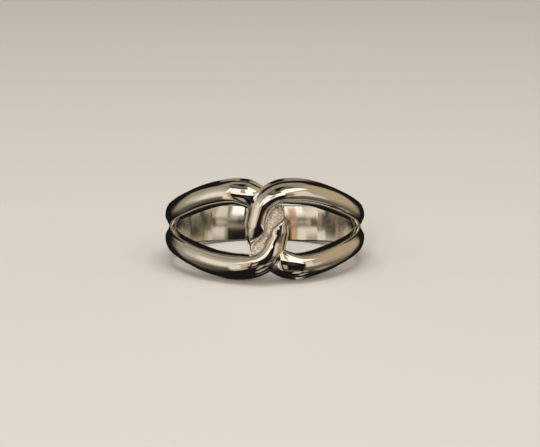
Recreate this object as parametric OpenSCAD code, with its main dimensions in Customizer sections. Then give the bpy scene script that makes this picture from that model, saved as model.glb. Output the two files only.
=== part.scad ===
// Knot ring, millimetres, +Z up, front towards -Y.
// One band goes round the back of the finger. At each side it parts into an upper
// and a lower rail, and the four rails meet at the front in two crossing loops.
// The ring leans back a little, as it does when it lies on its side on a table.
// The origin is the middle of the finger hole.

/* [Finger hole] */
// Radius of the finger hole
bore_r = 9.2; // [8:0.05:11]
// Width of the rounding where the sides of the band meet the finger hole
round_w = 0.2; // [0.1:0.05:0.3]
// Depth of that rounding, measured outwards from the finger hole
round_d = 0.2; // [0.1:0.05:0.2]

/* [Band] */
// Height of the ring over the knot, along the finger
front_h = 10.2; // [8:0.1:12]
// Thickness of the band at its sides
side_t = 1.1; // [0.9:0.05:1.4]
// Height of the loops' crests over the finger hole
knot_rise = 3.3; // [3.1:0.05:3.9]
// Height of the straight wall under the domed outside
wall = 0.25; // [0.05:0.05:0.4]
// How far the wall leans in over its height
flare = 0.22; // [0:0.02:0.3]

/* [Knot] */
// Height over the finger hole of the rough floor between the loops
floor_rise = 0.7; // [0.5:0.05:0.8]
// Length of that floor
floor_long = 5.5; // [4:0.1:6]
// Width of that floor
floor_wide = 2.7; // [2:0.1:3]
// Turn of the floor away from upright
floor_turn = 34; // [20:1:50]

/* [Rest] */
// Angle by which the ring leans back
lean = 10.1; // [0:0.1:15]

/* [Fineness] */
// Steps between two rows of a table
steps = 2; // [1:1:3]
// Points over the dome of a section
dome_n = 12; // [6:1:18]
// Points round the rounding at the finger hole
bend_n = 2; // [1:1:4]

/* [Hidden] */
silver = "#d8d4cc";
// Depth to which the bands run past the wall of the finger hole before it is cut
sunk = 0.5;
// Radius at which widths along the band are measured
mean_r = bore_r + 0.5;
// How far below the wall of the finger hole its roundings start
dip = 0.03;
// Largest share of a section's width that one of its roundings takes
round_share = 0.4;
// Least height of a section's wall above its rounding
least_wall = 0.02;
// Height of the crest for which the tables' rises are written
table_rise = 3.3;
// Fineness of the finger hole
hole_fn = 120;
// Fineness of the floor's outline
floor_fn = 48;

// A strand's sections, from the end of the loop that lies on top to the side.
// Eye-side edge: angle, height. Far edge: angle, height. Then the height over the
// finger hole of the crest, of the eye-side edge and of the far edge, and the crest's
// share of the width from the eye-side edge.
LOOP = [
    //  eye a, eye h, far a, far h, crest, eye,  far, place
    [-8.0, -2.35,  -9.0, -2.40, 1.00, 0.80, 0.80, 0.50],
    [-8.0, -1.50, -10.0, -1.60, 1.90, 1.60, 0.90, 0.50],
    [-5.5, -0.85, -11.5, -0.80, 2.55, 2.25, 1.00, 0.47],
    [-2.7, -0.15, -12.0, -0.10, 2.98, 2.70, 1.10, 0.44],
    [-1.7,  0.25, -12.1,  0.25, 3.12, 2.75, 1.15, 0.46],
    [-1.0,  0.60, -12.0,  0.60, 3.18, 2.60, 1.20, 0.50],
    [ 0.5,  1.25, -11.0,  1.45, 3.24, 2.45, 1.25, 0.54],
    [ 2.0,  1.75,  -9.7,  2.40, 3.29, 2.40, 1.30, 0.54],
    [ 4.0,  2.20,  -7.5,  3.30, 3.30, 2.35, 1.35, 0.52],
    [ 7.0,  2.50,  -3.2,  4.10, 3.30, 2.25, 1.35, 0.48],
    [10.0,  2.55,   2.4,  4.70, 3.20, 2.10, 1.25, 0.45],
    [13.5,  2.50,   9.3,  5.05, 2.95, 1.85, 1.15, 0.43]
];

// A rail's sections from the knot to the back, the same on both sides.
// Angle, height of the eye-side edge, height of the far edge, then the heights over
// the finger hole and the crest's share as above, and how much of the full rounding
// the eye-side edge has.
RAIL = [
    //   a, eye h, far h, crest,  eye,  far, place, round
    [ 20, 2.42, 5.10, 2.60, 1.50, 1.00, 0.45, 1],
    [ 30, 2.17, 4.80, 2.25, 1.25, 0.85, 0.44, 1],
    [ 40, 1.75, 4.40, 1.95, 1.05, 0.70, 0.43, 1],
    [ 50, 1.30, 3.95, 1.70, 0.90, 0.55, 0.44, 1],
    [ 60, 0.90, 3.50, 1.45, 0.75, 0.40, 0.45, 1],
    [ 70, 0.50, 3.10, 1.30, 0.65, 0.30, 0.46, 1],
    [ 78, 0.18, 2.85, 1.15, 0.60, 0.25, 0.46, 1],
    [ 82, 0.00, 2.70, 1.10, 0.60, 0.25, 0.46, 0.5],
    [ 85, 0.00, 2.65, 1.05, 0.62, 0.25, 0.44, 0],
    [ 95, 0.00, 2.40, 1.00, 0.68, 0.25, 0.40, 0],
    [110, 0.00, 2.20, 0.95, 0.80, 0.25, 0.32, 0],
    [130, 0.00, 2.00, 0.90, 0.85, 0.25, 0.28, 0],
    [155, 0.00, 1.90, 0.90, 0.85, 0.25, 0.25, 0],
    [180, 0.00, 1.85, 0.90, 0.85, 0.25, 0.25, 0]
];

// The end of the strand, tucked under the other loop. Columns as for the loop.
TUCK = [
    //  eye a, eye h, far a, far h, crest, eye,  far, place
    [-15.0,  2.35, -15.0,  5.08, 2.00, 1.15, 0.90, 0.42],
    [-10.5,  2.05,  -9.5,  4.95, 1.80, 1.05, 0.85, 0.45],
    [ -7.5,  1.70,  -5.0,  4.60, 1.45, 0.95, 0.80, 0.50],
    [ -4.0,  1.50,  -1.0,  4.20, 1.20, 0.85, 0.75, 0.50]
];

// A full row: eye-side angle and height, far angle and height, three rises, place, rounding
function loop_row(r) = concat(r, [1]);
function rail_row(r) = [r[0], r[1], r[0], r[2], r[3], r[4], r[5], r[6], r[7]];
function other_side(r) = [360 - r[0], r[1], 360 - r[2], r[3], r[4], r[5], r[6], r[7], r[8]];
function once_round(r) = [r[0] + 360, r[1], r[2] + 360, r[3], r[4], r[5], r[6], r[7], r[8]];

// Rows from the tip of the loop to the back, and from there to the tucked end
last = len(RAIL) - 1;
loop_side = concat([for (r = LOOP) loop_row(r)], [for (r = RAIL) rail_row(r)]);
tuck_side = concat(
    [for (i = [last:-1:0]) other_side(rail_row(RAIL[i]))],
    [for (r = TUCK) once_round(loop_row(r))]
);

// Smooth stations through the rows
function between(p, q, r, s, t) =
    (2 * q + (r - p) * t + (2 * p - 5 * q + 4 * r - s) * t * t + (3 * q - p - 3 * r + s) * t * t * t) / 2;
function smooth(rows, steps) = concat(
    [for (i = [0:len(rows) - 2], j = [0:steps - 1])
        between(rows[max(i - 1, 0)], rows[i], rows[i + 1], rows[min(i + 2, len(rows) - 1)], j / steps)],
    [rows[len(rows) - 1]]
);

// Half of a section's rounding at the finger hole, as [distance in from the edge, radius]
function bend(w, d) = [for (i = [0:bend_n]) let (t = 90 * i / bend_n)
    [w * (1 - sin(t)), bore_r - dip + (d + dip) * (1 - cos(t))]];

// The dome over a section of the given width, as [distance from the eye-side edge, radius]
function dome(width, lean_in, lean_out, crest, eye, far, place) =
    let (peak = lean_in + (width - lean_in - lean_out) * place)
    [for (i = [0:dome_n])
        let (c = -cos(180 * i / dome_n), s = sin(180 * i / dome_n))
        c <= 0
            ? [peak + (peak - lean_in) * c, bore_r + eye + (crest - eye) * s]
            : [peak + (width - lean_out - peak) * c, bore_r + far + (crest - far) * s]];

// One closed section, as [share of the width from the eye-side edge, radius]
function section(row) =
    let (
        width = norm([(row[2] - row[0]) * PI / 180 * mean_r, row[3] - row[1]]),
        fit = min(1, round_share * width / round_w),
        fit_eye = fit * max(0, row[8]),
        rise = knot_rise / table_rise,
        crest = row[4] * rise,
        eye = row[5] * rise,
        far = row[6] * rise,
        inner = bend(round_w * fit_eye, round_d * fit_eye),
        outer = bend(round_w * fit, round_d * fit),
        deep = bore_r - sunk,
        top = dome(width, flare * fit_eye, flare * fit, crest, eye, far, row[7]),
        pts = concat(
            [[inner[0][0], deep]],
            inner,
            [[0, max(bore_r + eye - wall * fit_eye, inner[bend_n][1] + least_wall)]],
            top,
            [[width, max(bore_r + far - wall * fit, outer[bend_n][1] + least_wall)]],
            [for (i = [bend_n:-1:0]) [width - outer[i][0], outer[i][1]]],
            [[width - outer[0][0], deep]]
        )
    )
    [for (p = pts) [p[0] / width, p[1]]];

// A section set in its place round the finger
function placed(row) = [for (p = section(row))
    let (a = row[0] + (row[2] - row[0]) * p[0], h = row[1] + (row[3] - row[1]) * p[0])
    [p[1] * sin(a), -p[1] * cos(a), h]];

function middle(points) = [for (k = [0:2]) [for (p = points) p[k]] * [for (p = points) 1] / len(points)];

// A solid through the smoothed sections of some rows
module sweep(rows) {
    rings = [for (row = smooth(rows, steps)) placed(row)];
    n = len(rings);
    m = len(rings[0]);
    points = concat([for (ring = rings) each ring], [middle(rings[0]), middle(rings[n - 1])]);
    walls = [for (i = [0:n - 2], j = [0:m - 1])
        let (a = i * m + j, b = i * m + (j + 1) % m)
        each [[a, b, b + m], [a, b + m, a + m]]];
    ends = [for (j = [0:m - 1])
        let (k = (j + 1) % m)
        each [[n * m, k, j], [n * m + 1, (n - 1) * m + j, (n - 1) * m + k]]];
    polyhedron(points, concat(walls, ends), convexity = 10);
}

// One strand: over the knot, round the back and under the other strand's loop
module strand() {
    sweep(loop_side);
    sweep(tuck_side);
}

// The rough floor that closes the gap between the two loops
module knot_floor() {
    intersection() {
        cylinder(h = front_h, r = bore_r + floor_rise, center = true, $fn = hole_fn);
        rotate([90, 0, 0])
            rotate(-floor_turn)
                translate([0, 0, bore_r - sunk])
                    resize([floor_wide, floor_long, 2 * sunk + floor_rise])
                        cylinder(h = 1, r = 1, $fn = floor_fn);
    }
}

module knot_ring() {
    color(silver)
        rotate([-lean, 0, 0])
            difference() {
                resize([2 * (bore_r + side_t), 0, front_h])
                    union() {
                        strand();
                        rotate([0, 180, 0]) strand();
                        knot_floor();
                    }
                cylinder(h = 2 * front_h, r = bore_r, center = true, $fn = hole_fn);
            }
}

knot_ring();
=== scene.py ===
import math

import bmesh
import bpy
import numpy as np
from bpy.props import FloatProperty, FloatVectorProperty, IntProperty, PointerProperty
from mathutils import Matrix, Vector, noise


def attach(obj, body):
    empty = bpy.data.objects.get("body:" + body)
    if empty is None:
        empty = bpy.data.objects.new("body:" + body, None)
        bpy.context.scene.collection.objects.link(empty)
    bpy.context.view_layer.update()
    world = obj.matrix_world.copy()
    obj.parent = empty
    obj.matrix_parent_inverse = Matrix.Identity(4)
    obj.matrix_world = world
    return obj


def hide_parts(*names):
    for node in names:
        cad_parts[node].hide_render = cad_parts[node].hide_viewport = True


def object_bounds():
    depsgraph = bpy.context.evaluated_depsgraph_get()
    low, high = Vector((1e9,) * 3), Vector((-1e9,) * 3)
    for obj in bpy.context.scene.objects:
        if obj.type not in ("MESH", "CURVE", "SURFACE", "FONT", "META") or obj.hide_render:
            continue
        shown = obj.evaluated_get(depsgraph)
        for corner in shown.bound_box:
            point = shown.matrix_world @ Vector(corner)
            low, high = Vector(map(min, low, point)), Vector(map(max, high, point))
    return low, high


bl_info = {
    "name": "Knot Ring",
    "version": (1, 0, 0),
    "blender": (4, 5, 0),
    "location": "3D View > Sidebar > Knot Ring",
    "description": "Makes a silver finger ring with a knot of two crossing loops, and a studio for it",
    "category": "Object",
}

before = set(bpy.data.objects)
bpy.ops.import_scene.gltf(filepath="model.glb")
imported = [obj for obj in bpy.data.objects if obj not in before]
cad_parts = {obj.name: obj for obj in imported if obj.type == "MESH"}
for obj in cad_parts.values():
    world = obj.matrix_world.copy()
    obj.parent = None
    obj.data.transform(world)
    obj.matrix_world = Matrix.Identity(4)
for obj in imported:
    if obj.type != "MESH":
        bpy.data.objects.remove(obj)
cad_low, cad_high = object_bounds()

MM = 0.001
# The solid in model.glb that the ring stands for, which is hidden once the ring is made
NODE = "knot_ring"

# Angles in the tables are in degrees round the finger from the front, positive to the viewer's right.
# Heights are in mm along the finger, rises in mm outwards from the wall of the finger hole.

# The strand that lies on top, from under the tip of its loop to the side rail. The crest's place is its
# share of the width from the eye-side edge. A crest of roundness 2 is an ellipse, less is a keener ridge.
LOOP = [
    # eye a, eye h, far a, far h, crest, eye, far, place, roundness
    [0.7, 1.25, -11.0, 1.45, 3.18, 2.34, 1.65, 0.33, 1.6],
    [2.0, 1.75, -9.7, 2.40, 3.26, 2.30, 1.70, 0.34, 1.7],
    [4.0, 2.20, -7.5, 3.30, 3.30, 2.27, 1.70, 0.37, 1.8],
    [7.0, 2.50, -3.2, 4.10, 3.30, 2.20, 1.60, 0.41, 1.8],
    [10.0, 2.55, 2.4, 4.70, 3.20, 2.10, 1.40, 0.43, 1.85],
    [13.5, 2.50, 9.3, 5.05, 2.95, 1.85, 1.20, 0.43, 1.9],
]

# The blunt tips in which the two loops end, the left one's longer than the right one's
LEFT_TIP = [
    # eye a, eye h, far a, far h, crest, eye, far, place, roundness
    [-8.0, -2.35, -9.0, -2.40, 1.20, 1.00, 0.80, 0.50, 1.8],
    [-7.4, -1.62, -10.0, -1.65, 2.00, 1.80, 1.00, 0.50, 1.7],
    [-4.0, -1.00, -11.5, -0.85, 2.58, 2.35, 1.15, 0.60, 1.7],
    [-1.0, -0.25, -12.0, -0.10, 2.85, 2.60, 1.30, 0.62, 1.7],
    [-0.6, 0.22, -12.1, 0.25, 2.98, 2.56, 1.45, 0.42, 1.6],
    [-0.3, 0.60, -12.0, 0.60, 3.06, 2.44, 1.55, 0.35, 1.6],
]
RIGHT_TIP = [
    # eye a, eye h, far a, far h, crest, eye, far, place, roundness
    [-8.2, -2.35, -9.2, -2.40, 1.20, 1.00, 0.80, 0.50, 1.8],
    [-8.0, -1.30, -10.2, -1.50, 2.40, 2.10, 1.00, 0.45, 1.7],
    [-5.6, -0.75, -11.5, -0.85, 3.22, 2.80, 1.30, 0.32, 1.8],
    [-2.9, -0.15, -12.0, -0.10, 3.28, 2.75, 1.50, 0.42, 1.8],
    [-2.0, 0.20, -12.1, 0.25, 3.27, 2.70, 1.60, 0.45, 1.8],
    [-1.3, 0.60, -12.0, 0.60, 3.25, 2.52, 1.60, 0.41, 1.7],
]

# A rail from the knot to the back, the same on both sides. The last column says how much of the full
# rounding the eye-side edge has: none at the back, where the two rails are one band.
RAIL = [
    # a, eye h, far h, crest, eye, far, place, rounding
    [20, 2.42, 5.10, 2.60, 1.50, 1.00, 0.45, 1],
    [30, 2.17, 4.80, 2.25, 1.25, 0.85, 0.44, 1],
    [40, 1.75, 4.40, 1.95, 1.05, 0.70, 0.43, 1],
    [50, 1.30, 3.95, 1.70, 0.90, 0.55, 0.44, 1],
    [60, 0.90, 3.50, 1.45, 0.75, 0.40, 0.45, 1],
    [70, 0.50, 3.10, 1.30, 0.65, 0.30, 0.46, 1],
    [78, 0.18, 2.85, 1.15, 0.60, 0.25, 0.46, 1],
    [82, 0.00, 2.70, 1.10, 0.60, 0.25, 0.46, 0.5],
    [85, 0.00, 2.65, 1.05, 0.62, 0.25, 0.44, 0],
    [95, 0.00, 2.40, 1.00, 0.68, 0.25, 0.40, 0],
    [110, 0.00, 2.20, 0.95, 0.80, 0.25, 0.32, 0],
    [130, 0.00, 2.00, 0.90, 0.85, 0.25, 0.28, 0],
    [155, 0.00, 1.90, 0.90, 0.85, 0.25, 0.25, 0],
    [180, 0.00, 1.85, 0.90, 0.85, 0.25, 0.25, 0],
]

# The end of the strand, tucked under the other loop
TUCK = [
    # eye a, eye h, far a, far h, crest, eye, far, place, roundness
    [-15.0, 2.35, -15.0, 5.08, 2.60, 1.60, 1.20, 0.42, 2],
    [-10.5, 2.05, -9.5, 4.95, 2.48, 1.55, 1.15, 0.45, 2],
    [-7.5, 1.70, -5.0, 4.60, 2.20, 1.30, 1.00, 0.50, 2],
    [-4.0, 1.50, -1.0, 4.20, 1.65, 1.00, 0.80, 0.50, 2],
]

# Roundness of a crest that is an ellipse
ELLIPSE = 2
# Share of the flare that the eye side has
EYE_FLARE = 0.35
# Largest share of a section's width that one of its roundings takes
ROUND_SHARE = 0.4
# Least height of a section's wall over its rounding, in mm
LEAST_WALL = 0.02
# How far below the wall of the finger hole the roundings start, in mm
DIP = 0.03
# How far below it the strands and the floor's plate start, before the hole is cut, in mm
SUNK = 0.5
# Rise at which widths along the band are measured, in mm
MEAN_RISE = 0.5
# Angles between which the knot's offset to the right fades out, in degrees
TURN_FULL = 15
TURN_NONE = 40
# Sides of the finger hole
HOLE_SIDES = 360
# Faces whose middle is this near to the wall of the finger hole are part of it, in mm
NEAR_HOLE = 0.01
# Points nearer than this are one point, in mm
WELD = 0.002
# Points this near to the ring's middle plane lie in it, in mm
IN_MIDDLE = 0.0005
# Scale that keeps the smooth ring inside the box of the faceted solid
INSIDE = 0.9996
# Edges are sharp where faces meet at more than this angle, in degrees, on the ring and on the floor
SHARP_RING = 30
SHARP_FLOOR = 40

# Depth of the crinkled skin over the floor's plate, in mm
FLOOR_SKIN = 0.25
# Points round the skin's outline, and from the outline to its middle
FLOOR_SIDES = 160
FLOOR_RINGS = 80
# The skin's lumps: how fast finer ones grow weaker, how much finer each layer is, and the layers
LUMP_FALL = 0.9
LUMP_STEP = 2.1
LUMP_LAYERS = 4
# The skin's folds: their size against the lumps', how deep they cut, and where their noise is taken
FOLD_SIZE = 2
FOLD_DEPTH = 2
FOLD_PLACE = 5.0
# Shares of the crinkles' height that lumps and folds have
LUMP_SHARE = 0.7
FOLD_SHARE = 0.5

# Patches of haze and waves on polished silver, and grains on cast silver, in mm. Hairlines from a buff
# are some 0.01 mm apart, too fine to show, so the haze is drawn as coarse as the patches they leave.
HAZE_SIZE = 0.5
WAVE_SIZE = 2.5
GRAIN_SIZE = 0.2
# Least and most roughness in the haze, as shares of the mean
HAZE_LEAST = 0.6
HAZE_MOST = 1.4
# Height of the grains on cast silver, in mm
GRAIN_HEIGHT = 0.06
# Places in the grain noise of the darker colour, painted shade in the grains' hollows, and the lighter,
# painted light on their tops
DARK_AT = 0.36
LIGHT_AT = 0.6

# What the ring sees round it, as a product photographer's light tent: panels of cloth and dark gaps.
# Azimuth in degrees from the camera's side, positive to the viewer's right, half its width, elevation,
# half its height, softness of its edge, colour and strength. Later rows lie over earlier ones. The
# azimuth turns over behind the ring, so the panel there has a row for each side.
PANELS = [
    # az, half, elev, half, soft, colour, strength
    [180, 75, 55, 13, 6, "9c9183", 1.0],
    [-180, 75, 54, 14, 6, "9c9183", 1.0],
    [0, 135, 76, 7, 4, "7c7368", 1.0],
    [-88, 40, 10, 58, 24, "655d53", 1.0],
    [-93, 45, 40, 22, 12, "aba090", 1.0],
    [-88, 40, 18, 42, 14, "a09585", 1.0],
    [-79, 31, 18, 28, 16, "bdb3a3", 1.0],
    [-78, 30, 2, 10, 14, "cfc5b5", 1.0],
    [-72, 18, 6, 19, 18, "f4eadb", 1.0],
    [94, 40, 8, 56, 24, "6b6050", 1.0],
    [98, 44, 40, 22, 12, "a08f78", 1.0],
    [94, 40, 20, 42, 14, "a5947c", 1.0],
    [94, 40, 22, 30, 12, "baa78b", 1.0],
    [140, 20, -66, 8, 6, "b8b0a2", 1.0],
    [76, 18, -56, 6, 8, "a09a8d", 1.0],
    [40, 18, -70, 11, 8, "c8bfb0", 1.0],
    [0, 30, -56, 7, 8, "5e584e", 1.0],
    [-50, 10, -46, 10, 8, "bdb3a4", 1.0],
    [-16, 10, -28, 14, 8, "b5ab9b", 1.0],
    [112, 14, -43, 5, 6, "9a9082", 1.0],
    [67, 14, -9, 9, 8, "d4cbbc", 1.0],
    [10, 12, 0, 8, 8, "3e3b35", 1.0],
    [-28, 28, 38, 22, 4, "f6f1e5", 1.3],
    [-43, 15, 52, 10, 4, "f4eee2", 1.2],
    [25, 24, 38, 21, 4, "fdfaf1", 1.4],
    [63, 21, 54, 17, 5, "fbf8ee", 1.3],
    [62, 8, 8, 20, 5, "e6ddcf", 1.0],
    [-50, 7, -20, 20, 6, "f0e6d6", 1.0],
    [-39, 5, -3, 31, 3, "d3a680", 1.0],
    [-1, 10, 43, 14, 3, "c9a08e", 1.0],
]

# The stage, in metres: half the width of the pale floor, and each lamp's size and place
FLOOR_REACH = 0.6
OVERHEAD_SIZE = (0.3, 0.2)
OVERHEAD_PLACE = (0, 0, 0.35)
FILL_SIZE = (0.12, 0.12)
FILL_PLACE = (-0.05, -0.42, 0.15)
# Roughness of the pale card
CARD_ROUGH = 0.6
# The camera: distance and clipping in metres, angle over the floor, lens and sensor in mm
CAMERA_AWAY = 0.3
CAMERA_CLIP = (0.01, 10)
CAMERA_ANGLE = 12
LENS = 192.8
SENSOR = 36
# Size of the image, and where in it the middle of the finger hole falls, in pixels
IMAGE_WIDE = 540
IMAGE_TALL = 447
RING_X = 264.85
RING_Y = 225.6


def to_linear(hex_colour):
    """The linear colour, with alpha, of an sRGB hex value such as "d8d4cc"."""
    out = []
    for i in (0, 2, 4):
        c = int(hex_colour[i:i + 2], 16) / 255
        out.append(c / 12.92 if c <= 0.04045 else ((c + 0.055) / 1.055) ** 2.4)
    return (*out, 1.0)


def add_node(tree, kind, settings=None, links=None):
    """Adds a node. Settings are attributes or input values, links are input: (node, output)."""
    node = tree.nodes.new(kind)
    for name, value in (settings or {}).items():
        if isinstance(name, int) or name in node.inputs:
            node.inputs[name].default_value = value
        else:
            setattr(node, name, value)
    for name, (source, output) in (links or {}).items():
        tree.links.new(source.outputs[output], node.inputs[name])
    return node


class RingSizes(bpy.types.PropertyGroup):
    """Sizes of the ring"""
    bore_r: FloatProperty(name="Finger hole radius", description="Radius of the finger hole",
                          default=9.2 * MM, unit="LENGTH", precision=5)
    front_h: FloatProperty(name="Front height", description="Height of the ring over the knot",
                           default=10.2 * MM, unit="LENGTH", precision=5)
    side_t: FloatProperty(name="Side thickness", description="Thickness of the band at its sides",
                          default=1.1 * MM, unit="LENGTH", precision=5)
    round_w: FloatProperty(name="Rounding width", description="Width of the rounding at the finger hole",
                           default=0.2 * MM, unit="LENGTH", precision=5)
    round_d: FloatProperty(name="Rounding depth", description="Depth of the rounding at the finger hole",
                           default=0.2 * MM, unit="LENGTH", precision=5)
    wall: FloatProperty(name="Wall", description="Height of the straight wall under the dome",
                        default=0.25 * MM, unit="LENGTH", precision=5)
    flare: FloatProperty(name="Flare", description="How far the wall leans in over its height",
                         default=0.22 * MM, unit="LENGTH", precision=5)
    lean: FloatProperty(name="Lean", description="Angle by which the ring leans back",
                        default=math.radians(10.1), subtype="ANGLE")
    knot_turn: FloatProperty(name="Knot offset", description="Turn of the knot to the right of the middle",
                             default=math.radians(0.9), subtype="ANGLE")
    floor_rise: FloatProperty(name="Floor rise", description="Rise of the floor over the finger hole",
                              default=0.7 * MM, unit="LENGTH", precision=5)
    floor_long: FloatProperty(name="Floor length", description="Length of the rough floor",
                              default=5.5 * MM, unit="LENGTH", precision=5)
    floor_wide: FloatProperty(name="Floor width", description="Width of the rough floor",
                              default=2.7 * MM, unit="LENGTH", precision=5)
    floor_turn: FloatProperty(name="Floor turn", description="Turn of the rough floor away from upright",
                              default=math.radians(34), subtype="ANGLE")
    crinkle: FloatProperty(name="Crinkle height", description="Height of the crinkles of the rough floor",
                           default=0.13 * MM, unit="LENGTH", precision=5)
    grain: FloatProperty(name="Crinkle size", description="Width of the crinkles of the rough floor",
                         default=0.27 * MM, unit="LENGTH", precision=5)
    steps: IntProperty(name="Steps", description="Steps between two rows of a table", default=8, min=1)
    dome_n: IntProperty(name="Dome points", description="Points over a section's dome", default=40, min=4)
    bend_n: IntProperty(name="Rounding points", description="Points round a rounding", default=6, min=1)


class SilverFinish(bpy.types.PropertyGroup):
    """Colours and polish of the silver"""
    silver: FloatVectorProperty(name="Silver", description="Colour of the polished silver",
                                default=to_linear("e9e5dd"), size=4, min=0, max=1, subtype="COLOR")
    mirror_rough: FloatProperty(name="Mirror roughness", description="Roughness of the outside",
                                default=0.035, min=0, max=1, subtype="FACTOR")
    satin_rough: FloatProperty(name="Satin roughness", description="Roughness inside the band",
                               default=0.125, min=0, max=1, subtype="FACTOR")
    satin_grain: FloatProperty(name="Satin direction", description="How much the hairlines stretch light",
                               default=0.85, min=0, max=1, subtype="FACTOR")
    wave_height: FloatProperty(name="Wave height", description="Height of the waves that a buff leaves",
                               default=0.004 * MM, unit="LENGTH", precision=6)
    # Darker colour of the cast skin: painted shade in the hollows of its grains
    cast_dark: FloatVectorProperty(name="Cast silver, dark", description="Colour of the skin's hollows",
                                   default=to_linear("bda58c"), size=4, min=0, max=1, subtype="COLOR")
    # Lighter colour of the cast skin: painted light on the tops of its grains
    cast_light: FloatVectorProperty(name="Cast silver, light", description="Colour of the skin's lumps",
                                    default=to_linear("fff4e6"), size=4, min=0, max=1, subtype="COLOR")
    cast_metal: FloatProperty(name="Cast metal", description="How much the cast skin still shows as metal",
                              default=0.2, min=0, max=1, subtype="FACTOR")
    cast_rough: FloatProperty(name="Cast roughness", description="Roughness of the cast skin",
                              default=0.6, min=0, max=1, subtype="FACTOR")


class StudioLook(bpy.types.PropertyGroup):
    """Colours and light of the studio"""
    card: FloatVectorProperty(name="Floor", description="Colour of the pale card that the ring lies on",
                              default=to_linear("c9c6c0"), size=4, min=0, max=1, subtype="COLOR")
    room: FloatVectorProperty(name="Room", description="Colour of the dark room behind the panels",
                              default=to_linear("1c1a18"), size=4, min=0, max=1, subtype="COLOR")
    panels: FloatProperty(name="Panels", description="Strength of the tent's panels", default=1, min=0)
    overhead: FloatProperty(name="Overhead lamp", description="Power of the lamp over the ring",
                            default=0.9, min=0, unit="POWER")
    fill: FloatProperty(name="Fill lamp", description="Power of the lamp at the front",
                        default=1.1, min=0, unit="POWER")


def plain_sizes(props):
    """The property group's sizes in mm and degrees, as a dictionary."""
    lengths = ("bore_r", "front_h", "side_t", "round_w", "round_d", "wall", "flare",
               "floor_rise", "floor_long", "floor_wide", "crinkle", "grain")
    sizes = {name: getattr(props, name) / MM for name in lengths}
    sizes.update(steps=props.steps, dome_n=props.dome_n, bend_n=props.bend_n)
    sizes.update(turn=math.degrees(props.knot_turn), floor_turn=math.degrees(props.floor_turn))
    return sizes


def smooth(rows, steps):
    """Stations on a smooth curve through the rows, steps of them in each interval."""
    rows = np.array(rows, float)
    last = len(rows) - 1
    out = []
    for i in range(last):
        p, q, r, s = rows[max(i - 1, 0)], rows[i], rows[i + 1], rows[min(i + 2, last)]
        for t in np.arange(steps) / steps:
            square, cube = (2 * p - 5 * q + 4 * r - s) * t**2, (3 * q - p - 3 * r + s) * t**3
            out.append((2 * q + (r - p) * t + square + cube) / 2)
    return out + [rows[-1]]


def shares(row, sizes):
    """A section's width in mm, and how much of the full rounding its two edges have."""
    mean_r = sizes["bore_r"] + MEAN_RISE
    width = math.hypot(math.radians(row[2] - row[0]) * mean_r, row[3] - row[1])
    fit = min(1, ROUND_SHARE * width / sizes["round_w"])
    return {"width": width, "fit": fit, "fit_eye": fit * max(0, row[8])}


def bend(w, d, sizes):
    """Half of the rounding at the finger hole, as (distance in from the edge, radius)."""
    n = sizes["bend_n"]
    low = sizes["bore_r"] - DIP
    return [(w * (1 - math.sin(t)), low + (d + DIP) * (1 - math.cos(t)))
            for t in (math.pi / 2 * i / n for i in range(n + 1))]


def dome(row, cut, sizes):
    """The dome over a section, as (distance from the eye-side edge, radius)."""
    bore = sizes["bore_r"]
    start = EYE_FLARE * sizes["flare"] * cut["fit_eye"]
    end = cut["width"] - sizes["flare"] * cut["fit"]
    peak = start + (end - start) * row[7]
    crest, eye, far = row[4:7]
    # Where the eye-side edge isn't rounded, the dome meets its mirror image without a crease
    merge = 1 - min(1, max(0, row[8]))
    half = sizes["dome_n"] // 2
    out = []
    for i in range(-half, half + 1):
        # From -1 at the eye-side edge over 0 at the crest to 1 at the far edge
        c = math.copysign((1 - math.cos(math.pi * i / half)) / 2, i)
        rise = (1 - abs(c) ** row[9]) ** (1 / row[9])
        if i <= 0:
            soft_rise = (1 + math.cos(math.pi * c)) / 2
            rise += (soft_rise - rise) * merge
            out.append((peak + (peak - start) * c, bore + eye + (crest - eye) * rise))
        else:
            out.append((peak + (end - peak) * c, bore + far + (crest - far) * rise))
    return out


def section(row, sizes):
    """One closed section, as (share of the width from the eye-side edge, radius)."""
    cut = shares(row, sizes)
    width, fit, fit_eye = cut["width"], cut["fit"], cut["fit_eye"]
    bore, deep = sizes["bore_r"], sizes["bore_r"] - SUNK
    inner = bend(sizes["round_w"] * fit_eye, sizes["round_d"] * fit_eye, sizes)
    outer = bend(sizes["round_w"] * fit, sizes["round_d"] * fit, sizes)
    eye_wall = max(bore + row[5] - sizes["wall"] * fit_eye, inner[-1][1] + LEAST_WALL)
    far_wall = max(bore + row[6] - sizes["wall"] * fit, outer[-1][1] + LEAST_WALL)
    points = [(inner[0][0], deep)] + inner + [(0, eye_wall)] + dome(row, cut, sizes) + [(width, far_wall)]
    points += [(width - d, r) for d, r in reversed(outer)] + [(width - outer[0][0], deep)]
    return [(d / width, r) for d, r in points]


def placed(row, sizes):
    """The section's points in the ring's own frame, in mm."""
    out = []
    for share, r in section(row, sizes):
        a = math.radians(row[0] + (row[2] - row[0]) * share)
        out.append((r * math.sin(a), -r * math.cos(a), row[1] + (row[3] - row[1]) * share))
    return out


def sweep(rows, sizes):
    """Vertices and faces of the closed solid through the smoothed sections of some rows."""
    rings = [placed(row, sizes) for row in smooth(rows, sizes["steps"])]
    n, m = len(rings), len(rings[0])
    points = [p for ring in rings for p in ring]
    points += [tuple(np.mean(rings[0], axis=0)), tuple(np.mean(rings[-1], axis=0))]
    faces = [(i * m + j, (i + 1) * m + j, (i + 1) * m + (j + 1) % m, i * m + (j + 1) % m)
             for i in range(n - 1) for j in range(m)]
    faces += [(n * m, j, (j + 1) % m) for j in range(m)]
    faces += [(n * m + 1, (n - 1) * m + (j + 1) % m, (n - 1) * m + j) for j in range(m)]
    return points, faces


def turned(rows, turn):
    """The rows with the knot turned to the right, fading out along the rails."""
    out = []
    for row in rows:
        away = abs((row[0] + 180) % 360 - 180)
        share = min(1, max(0, (TURN_NONE - away) / (TURN_NONE - TURN_FULL)))
        out.append([row[0] + turn * share, row[1], row[2] + turn * share, *row[3:]])
    return out


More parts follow.
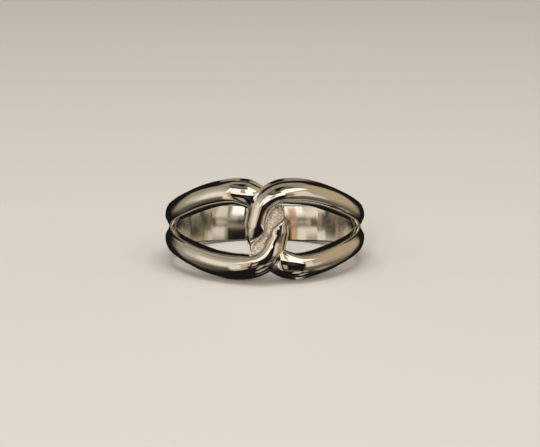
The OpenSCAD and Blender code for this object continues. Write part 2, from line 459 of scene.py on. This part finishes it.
def strand(tip, turn, sizes):
    """The two solids of a strand: from the loop's tip to the back, and from the back to the tucked end."""
    rail = [[r[0], r[1], r[0], *r[2:], ELLIPSE] for r in RAIL]
    loop_side = [[*r[:8], 1, r[8]] for r in tip + LOOP] + rail
    tuck_side = [[360 - r[0], r[1], 360 - r[2], *r[3:]] for r in reversed(rail)]
    tuck_side += [[r[0] + 360, r[1], r[2] + 360, *r[3:8], 1, r[8]] for r in TUCK]
    return [sweep(turned(rows, turn), sizes) for rows in (loop_side, tuck_side)]


def floor_point(share, t, high, sizes):
    """A point of the floor's oval, at a share of the way from its middle to its edge: place on the
    oval's two axes in mm, angle round the finger and height."""
    turn = math.radians(sizes["floor_turn"])
    u = share * sizes["floor_wide"] / 2 * math.cos(t)
    v = share * sizes["floor_long"] / 2 * math.sin(t)
    across, up = u * math.cos(turn) + v * math.sin(turn), v * math.cos(turn) - u * math.sin(turn)
    return u, v, across / high + math.radians(sizes["turn"]), up


def drum(points, n):
    """The points, with the faces of a closed drum whose lower and upper rims they are, n on each."""
    faces = [(i, (i + 1) % n, n + (i + 1) % n, n + i) for i in range(n)]
    return points, faces + [tuple(reversed(range(n))), tuple(range(n, 2 * n))]


def plate(sizes):
    """Vertices and faces of the oval plate under the rough skin, between the loops."""
    low, high = sizes["bore_r"] - SUNK, sizes["bore_r"] + sizes["floor_rise"] - FLOOR_SKIN
    points = []
    for r in (low, high):
        for i in range(FLOOR_SIDES):
            _, _, a, up = floor_point(1, 2 * math.pi * i / FLOOR_SIDES, high, sizes)
            points.append((r * math.sin(a), -r * math.cos(a), up))
    return drum(points, FLOOR_SIDES)


def rough_skin(sizes):
    """Vertices and faces of the crinkled skin over the plate."""
    high = sizes["bore_r"] + sizes["floor_rise"]
    low = high - 2 * FLOOR_SKIN
    n, m = FLOOR_SIDES, FLOOR_RINGS

    def point(share, t, flat):
        u, v, a, up = floor_point(share, t, high, sizes)
        r = low
        if not flat:
            grain = sizes["grain"]
            lump = noise.fractal(Vector((u, v, 0)) / grain, LUMP_FALL, LUMP_STEP, LUMP_LAYERS)
            fold = 1 - FOLD_DEPTH * abs(noise.noise(Vector((u, v, FOLD_PLACE)) / (FOLD_SIZE * grain)))
            r = high + sizes["crinkle"] * (LUMP_SHARE * lump + FOLD_SHARE * fold - FOLD_SHARE)
        return (r * math.sin(a), -r * math.cos(a), up)

    angles = [2 * math.pi * i / n for i in range(n)]
    points = [point(1, t, True) for t in angles]
    points += [point(1 - k / m, t, False) for k in range(m) for t in angles]
    points += [point(0, 0, True), point(0, 0, False)]
    under, over = len(points) - 2, len(points) - 1
    faces = [(k * n + i, k * n + (i + 1) % n, (k + 1) * n + (i + 1) % n, (k + 1) * n + i)
             for k in range(m) for i in range(n)]
    faces += [(under, (i + 1) % n, i) for i in range(n)]
    faces += [(over, m * n + i, m * n + (i + 1) % n) for i in range(n)]
    return points, faces


def cylinder(radius, height, sides):
    """Vertices and faces of a closed cylinder round the finger hole's axis, sizes in mm."""
    ring = [2 * math.pi * i / sides for i in range(sides)]
    points = [(radius * math.cos(a), radius * math.sin(a), h)
              for h in (-height / 2, height / 2) for a in ring]
    return drum(points, sides)


def fit_scale(solids, sizes):
    """The scale along X, Y and Z that gives the ring its stated width and height."""
    points = np.array([p for points, _ in solids for p in points])
    wide = 2 * (sizes["bore_r"] + sizes["side_t"]) / (points[:, 0].max() - points[:, 0].min())
    tall = sizes["front_h"] / (points[:, 2].max() - points[:, 2].min())
    return wide, 1, tall


def linked(name, data):
    """A new object at the origin, in the scene."""
    obj = bpy.data.objects.new(name, data)
    bpy.context.scene.collection.objects.link(obj)
    return obj


def new_object(name, points, faces):
    """A mesh object from points in mm in the ring's own frame, without the lean."""
    mesh = bpy.data.meshes.new(name)
    mesh.from_pydata([tuple(c * MM for c in p) for p in points], [], faces)
    mesh.update()
    return linked(name, mesh)


def without_inner_faces(bm):
    """Deletes what the union left inside the metal at the back, where the halves of a strand meet,
    and closes the hairline gaps that are then open."""
    inner = [f for f in bm.faces if f.calc_center_median().y > 0
             and all(abs(v.co.x) < IN_MIDDLE * MM for v in f.verts)]
    bmesh.ops.delete(bm, geom=inner, context="FACES")
    rim = [loop for edge in bm.edges if edge.is_boundary for loop in edge.link_loops]
    onward = {loop.link_loop_next.vert: loop.vert for loop in rim}
    while onward:
        start, corner = onward.popitem()
        gap = [start]
        while corner is not start:
            gap.append(corner)
            corner = onward.pop(corner)
        bm.faces.new(gap)


def joined_solid(name, first, others, cutter):
    """One mesh object: the union of the first object and the others, less the cutter."""
    for other, operation in [(other, "UNION") for other in others] + [(cutter, "DIFFERENCE")]:
        step = first.modifiers.new(other.name, "BOOLEAN")
        step.object, step.operation, step.solver = other, operation, "MANIFOLD"
    graph = bpy.context.evaluated_depsgraph_get()
    mesh = bpy.data.meshes.new_from_object(first.evaluated_get(graph))
    if not mesh.polygons:
        raise RuntimeError(f"The solids of {name} could not be joined")
    for used in (first, *others, cutter):
        bpy.data.objects.remove(used)
    mesh.name = name
    bm = bmesh.new()
    bm.from_mesh(mesh)
    bmesh.ops.remove_doubles(bm, verts=bm.verts, dist=WELD * MM)
    bmesh.ops.dissolve_degenerate(bm, edges=bm.edges, dist=WELD * MM)
    without_inner_faces(bm)
    bm.to_mesh(mesh)
    bm.free()
    return linked(name, mesh)


def leaned(obj, lean):
    """Turns the mesh back about the X axis, as the ring rests, and keeps it inside the solid's box."""
    obj.data.transform(Matrix.Rotation(-lean, 4, "X") @ Matrix.Scale(INSIDE, 4))
    obj.data.update()


def shade(obj, limit):
    """Smooth shading with sharp edges where faces meet at more than the limit, in degrees."""
    obj.data.polygons.foreach_set("use_smooth", [True] * len(obj.data.polygons))
    obj.data.set_sharp_from_angle(angle=math.radians(limit))


def new_material(name):
    """A material with its node tree and its shader."""
    mat = bpy.data.materials.new(name)
    mat.use_nodes = True
    return mat, mat.node_tree, mat.node_tree.nodes["Principled BSDF"]


def polished_silver(name, finish, roughness):
    """Silver, cast, filed and buffed."""
    # The buff leaves a mirror. Its reflections waver a little where it has rounded the metal, and the
    # faintest haze of hairlines lies over them, thicker in some patches than in others.
    mat, tree, bsdf = new_material(name)
    bsdf.inputs["Base Color"].default_value = finish.silver
    bsdf.inputs["Metallic"].default_value = 1
    where = add_node(tree, "ShaderNodeTexCoord")
    haze = add_node(tree, "ShaderNodeTexNoise", {"Scale": 1 / (HAZE_SIZE * MM), "Detail": 3},
                    {"Vector": (where, "Object")})
    rough = add_node(tree, "ShaderNodeMapRange",
                     {"To Min": roughness * HAZE_LEAST, "To Max": roughness * HAZE_MOST},
                     {"Value": (haze, "Fac")})
    wave = add_node(tree, "ShaderNodeTexNoise", {"Scale": 1 / (WAVE_SIZE * MM), "Detail": 1},
                    {"Vector": (where, "Object")})
    bump = add_node(tree, "ShaderNodeBump", {"Strength": 1, "Distance": finish.wave_height},
                    {"Height": (wave, "Fac")})
    tree.links.new(rough.outputs["Result"], bsdf.inputs["Roughness"])
    tree.links.new(bump.outputs["Normal"], bsdf.inputs["Normal"])
    return mat


def satin_silver(name, finish, lean):
    """Silver smoothed by a spindle that turned in the finger hole."""
    # The spindle's hairlines run round the finger, so reflections blur along the finger into upright bars
    mat = polished_silver(name, finish, finish.satin_rough)
    bsdf = mat.node_tree.nodes["Principled BSDF"]
    bsdf.inputs["Anisotropic"].default_value = finish.satin_grain
    along = add_node(mat.node_tree, "ShaderNodeCombineXYZ", {"Y": math.sin(lean), "Z": math.cos(lean)})
    mat.node_tree.links.new(along.outputs["Vector"], bsdf.inputs["Tangent"])
    return mat


def cast_silver(name, finish):
    """Silver left as it came out of the mould, between the loops."""
    # Plaster and pickle leave a pale, chalky skin with lumps and pits. It scatters light as a powder
    # does and glints only a little, so it reads as far less of a metal than the polished silver.
    mat, tree, bsdf = new_material(name)
    bsdf.inputs["Metallic"].default_value = finish.cast_metal
    bsdf.inputs["Roughness"].default_value = finish.cast_rough
    where = add_node(tree, "ShaderNodeTexCoord")
    grain = add_node(tree, "ShaderNodeTexNoise", {"Scale": 1 / (GRAIN_SIZE * MM), "Detail": 3},
                     {"Vector": (where, "Object")})
    # The colour follows the same noise as the bump: darker in the grains' hollows as painted shade,
    # lighter on their tops as painted light
    tint = add_node(tree, "ShaderNodeValToRGB", links={"Fac": (grain, "Fac")})
    dark, light = tint.color_ramp.elements
    dark.position, dark.color = DARK_AT, finish.cast_dark
    light.position, light.color = LIGHT_AT, finish.cast_light
    bump = add_node(tree, "ShaderNodeBump", {"Strength": 1, "Distance": GRAIN_HEIGHT * MM},
                    {"Height": (grain, "Fac")})
    tree.links.new(tint.outputs["Color"], bsdf.inputs["Base Color"])
    tree.links.new(bump.outputs["Normal"], bsdf.inputs["Normal"])
    return mat


def pale_card(name, look):
    """Uncoated card, pressed smooth."""
    # The paper's fibres scatter light, so it is matt and shows soft shadows and no reflections
    mat, _, bsdf = new_material(name)
    bsdf.inputs["Base Color"].default_value = look.card
    bsdf.inputs["Roughness"].default_value = CARD_ROUGH
    return mat


class KNOTRING_OT_body(bpy.types.Operator):
    """Makes the band, the rails and the two crossing loops as one polished casting"""
    bl_idname = "knotring.body"
    bl_label = "Ring Body"

    def execute(self, context):
        props, finish = context.scene.knot_ring_sizes, context.scene.knot_ring_finish
        sizes = plain_sizes(props)
        solids = strand(LEFT_TIP, sizes["turn"], sizes)
        # The other strand is turned half round about the front, and its offset with it
        for points, faces in strand(RIGHT_TIP, -sizes["turn"], sizes):
            solids.append(([(-x, y, -z) for x, y, z in points], faces))
        scale = Matrix.Diagonal((*fit_scale(solids, sizes), 1))
        solids.append(plate(sizes))
        objects = [new_object(f"solid_{i}", *solid) for i, solid in enumerate(solids)]
        for obj in objects:
            obj.data.transform(scale)
        cutter = new_object("finger_hole", *cylinder(sizes["bore_r"], 2 * sizes["front_h"], HOLE_SIDES))
        ring = joined_solid("ring_body", objects[0], objects[1:], cutter)
        ring.data.materials.clear()
        ring.data.materials.append(polished_silver("mirror_polished_silver", finish, finish.mirror_rough))
        ring.data.materials.append(satin_silver("satin_silver_inside", finish, props.lean))
        for face in ring.data.polygons:
            across = math.hypot(face.center.x, face.center.y) / MM
            face.material_index = int(across < sizes["bore_r"] + NEAR_HOLE)
        leaned(ring, props.lean)
        shade(ring, SHARP_RING)
        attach(ring, "root")
        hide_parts(NODE)
        return {"FINISHED"}


class KNOTRING_OT_floor(bpy.types.Operator):
    """Makes the rough as-cast floor between the loops"""
    bl_idname = "knotring.floor"
    bl_label = "Knot Floor"

    def execute(self, context):
        props = context.scene.knot_ring_sizes
        floor = new_object("knot_floor", *rough_skin(plain_sizes(props)))
        leaned(floor, props.lean)
        shade(floor, SHARP_FLOOR)
        floor.data.materials.append(cast_silver("as_cast_silver", context.scene.knot_ring_finish))
        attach(floor, "root")
        return {"FINISHED"}


def within(tree, angle, middle, half, soft):
    """A mask of what lies within half of the middle, in degrees, with a soft edge."""
    off = add_node(tree, "ShaderNodeMath", {"operation": "SUBTRACT", 1: math.radians(middle)},
                   {0: (angle, 0)})
    size = add_node(tree, "ShaderNodeMath", {"operation": "ABSOLUTE"}, {0: (off, 0)})
    edge = {"From Min": math.radians(half + soft / 2), "From Max": math.radians(half - soft / 2)}
    return add_node(tree, "ShaderNodeMapRange", {"interpolation_type": "SMOOTHSTEP", **edge},
                    {"Value": (size, 0)})


def studio_world(look):
    """A dark room with the cloth panels of a light tent in it."""
    world = bpy.data.worlds.new("studio")
    world.use_nodes = True
    tree = world.node_tree
    where = add_node(tree, "ShaderNodeTexCoord")
    axes = add_node(tree, "ShaderNodeSeparateXYZ", links={"Vector": (where, "Generated")})
    front = add_node(tree, "ShaderNodeMath", {"operation": "MULTIPLY", 1: -1}, {0: (axes, "Y")})
    turn = add_node(tree, "ShaderNodeMath", {"operation": "ARCTAN2"}, {0: (axes, "X"), 1: (front, 0)})
    rise = add_node(tree, "ShaderNodeMath", {"operation": "ARCSINE"}, {0: (axes, "Z")})
    colour = None
    for azimuth, half_w, elevation, half_h, soft, paint, strength in PANELS:
        across = within(tree, turn, azimuth, half_w, soft)
        upright = within(tree, rise, elevation, half_h, soft)
        share = add_node(tree, "ShaderNodeMath", {"operation": "MULTIPLY"},
                         {0: (across, "Result"), 1: (upright, "Result")})
        light = (*(c * strength for c in to_linear(paint)[:3]), 1)
        mix = add_node(tree, "ShaderNodeMixRGB", {"Color1": look.room, "Color2": light},
                       {"Fac": (share, 0)})
        if colour is not None:
            tree.links.new(colour.outputs[0], mix.inputs["Color1"])
        colour = mix
    background = tree.nodes["Background"]
    background.inputs["Strength"].default_value = look.panels
    tree.links.new(colour.outputs[0], background.inputs["Color"])
    return world


def add_lamp(name, size, place, power):
    """A soft lamp that shines at the ring and doesn't show in it. Size and place are in metres."""
    light = bpy.data.lights.new(name, "AREA")
    light.shape, light.energy = "RECTANGLE", power
    light.size, light.size_y = size
    lamp = linked(name, light)
    lamp.location = place
    lamp.rotation_mode = "QUATERNION"
    lamp.rotation_quaternion = lamp.location.to_track_quat("Z", "Y")
    lamp.visible_glossy = False


def add_camera():
    """A long lens that looks a little down on the front of the ring."""
    cam = bpy.data.cameras.new("camera")
    cam.sensor_width, cam.lens = SENSOR, LENS
    cam.shift_x = (IMAGE_WIDE / 2 - RING_X) / IMAGE_WIDE
    cam.shift_y = (RING_Y - IMAGE_TALL / 2) / IMAGE_WIDE
    cam.clip_start, cam.clip_end = CAMERA_CLIP
    camera = linked("camera", cam)
    angle = math.radians(CAMERA_ANGLE)
    back = Vector((0, -math.cos(angle), math.sin(angle)))
    camera.location = back * CAMERA_AWAY
    camera.rotation_mode = "QUATERNION"
    camera.rotation_quaternion = (-back).to_track_quat("-Z", "Y")
    return camera


class KNOTRING_OT_stage(bpy.types.Operator):
    """Sets a plain pale floor, soft light and the camera"""
    bl_idname = "knotring.stage"
    bl_label = "Studio"

    def execute(self, context):
        look = context.scene.knot_ring_studio
        corners = [(x * FLOOR_REACH, y * FLOOR_REACH, cad_low.z)
                   for x, y in ((-1, -1), (1, -1), (1, 1), (-1, 1))]
        mesh = bpy.data.meshes.new("studio_floor")
        mesh.from_pydata(corners, [], [(0, 1, 2, 3)])
        floor = linked("studio_floor", mesh)
        floor.data.materials.append(pale_card("pale_card", look))
        floor.visible_glossy = False
        context.scene.world = studio_world(look)
        context.scene.view_settings.view_transform = "Standard"
        add_lamp("overhead", OVERHEAD_SIZE, OVERHEAD_PLACE, look.overhead)
        add_lamp("fill", FILL_SIZE, FILL_PLACE, look.fill)
        context.scene.camera = add_camera()
        return {"FINISHED"}


class VIEW3D_PT_knot_ring(bpy.types.Panel):
    """Lists the steps that make the ring and its studio, and their settings"""
    bl_label = "Knot Ring"
    bl_space_type = "VIEW_3D"
    bl_region_type = "UI"
    bl_category = "Knot Ring"

    def draw(self, context):
        for step in STEPS:
            self.layout.operator(step.bl_idname)
        for name, group in GROUPS.items():
            box = self.layout.box()
            for setting in group.__annotations__:
                box.prop(getattr(context.scene, name), setting)


STEPS = (KNOTRING_OT_body, KNOTRING_OT_floor, KNOTRING_OT_stage)
GROUPS = {"knot_ring_sizes": RingSizes, "knot_ring_finish": SilverFinish, "knot_ring_studio": StudioLook}
CLASSES = (*GROUPS.values(), *STEPS, VIEW3D_PT_knot_ring)


def register():
    for cls in CLASSES:
        bpy.utils.register_class(cls)
    for name, group in GROUPS.items():
        setattr(bpy.types.Scene, name, PointerProperty(type=group))


def unregister():
    for name in GROUPS:
        delattr(bpy.types.Scene, name)
    for cls in reversed(CLASSES):
        bpy.utils.unregister_class(cls)


def main():
    register()
    bpy.ops.knotring.body()
    bpy.ops.knotring.floor()
    bpy.ops.knotring.stage()


if __name__ == "__main__":
    main()
